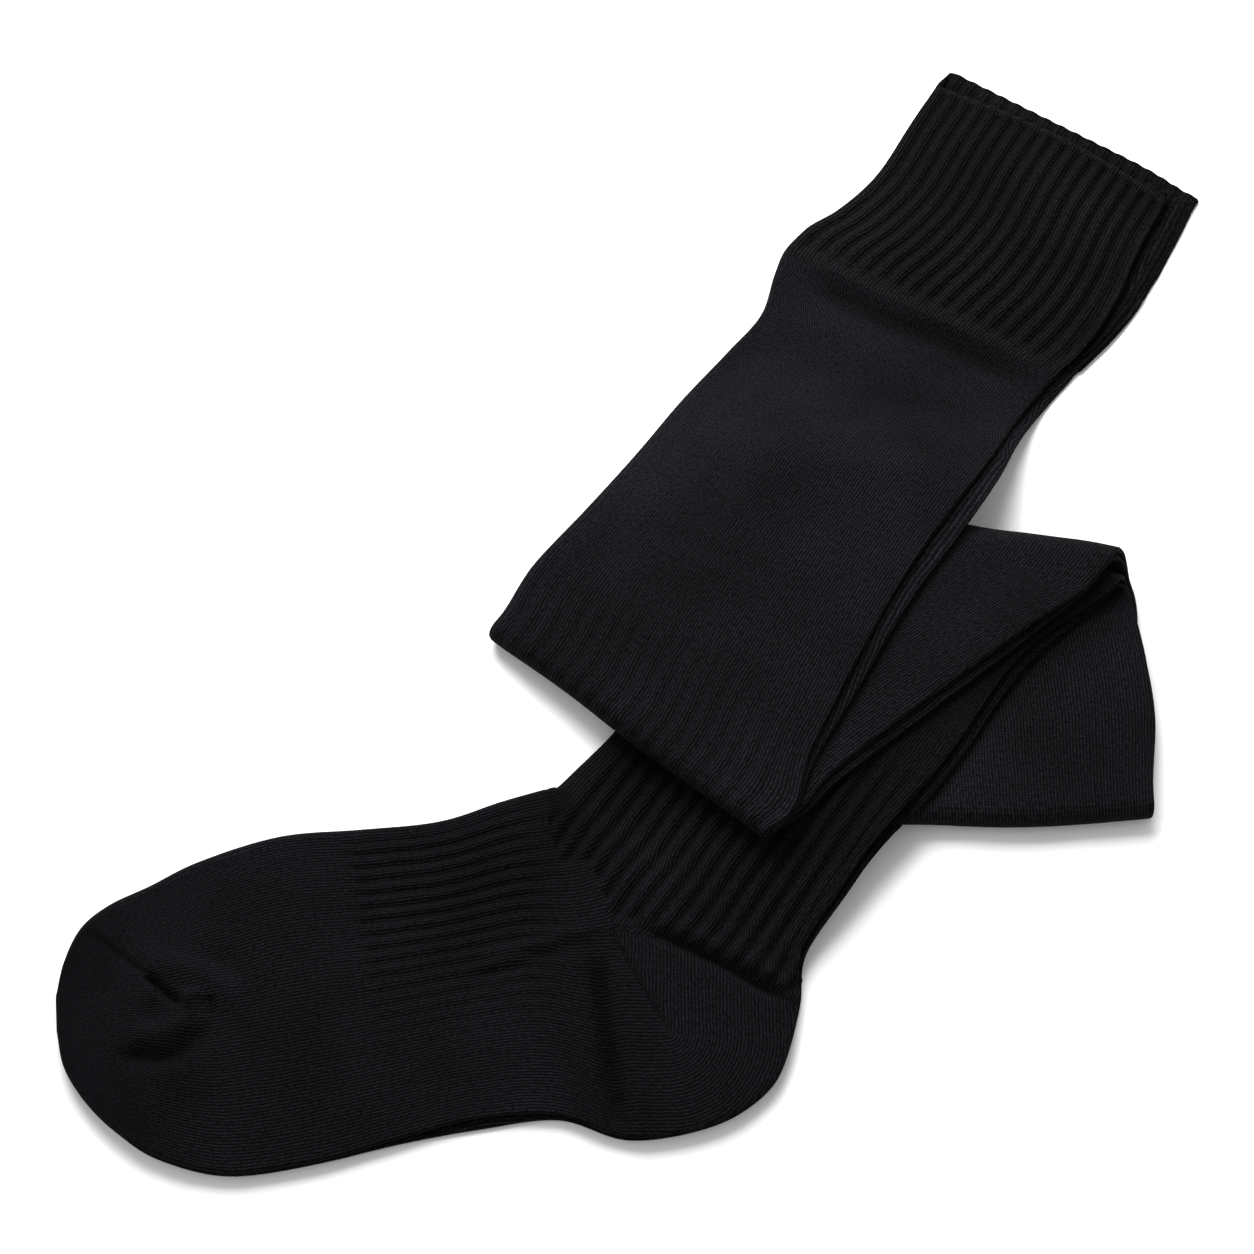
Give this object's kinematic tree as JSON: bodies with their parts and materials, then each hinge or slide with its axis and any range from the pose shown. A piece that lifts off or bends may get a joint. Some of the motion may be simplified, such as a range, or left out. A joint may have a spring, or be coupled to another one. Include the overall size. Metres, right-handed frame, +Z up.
{
  "type": "football sock",
  "caption": "Long knitted football sock lying folded: closed toe, turned heel, ribbed ankle, leg folded in layers, open ribbed cuff.",
  "frame": {"origin": "bottom centre of the folded sock's bounding box, on the table", "axes": "+Z up from the table, +Y along the top layer of the leg toward the cuff's mouth, +X to the right seen from above with the cuff pointing away"},
  "size_m": [0.2488, 0.4584, 0.0263],
  "materials": {
    "toe_knit": "matt black fine plain knit, slightly fuzzy",
    "foot_knit": "matt black plain knit with ribs over the instep",
    "heel_knit": "matt black plain knit, turned heel with gore lines",
    "ankle_knit": "matt black ribbed knit",
    "calf_knit": "matt blue-black plain knit, slightly fuzzy",
    "cuff_knit": "matt black ribbed knit with a plain rim"
  },
  "bodies": {
    "root": {"toe": "toe_knit", "foot": "foot_knit", "heel": "heel_knit", "ankle": "ankle_knit", "calf": "calf_knit", "cuff": "cuff_knit"}
  },
  "joints": []
}
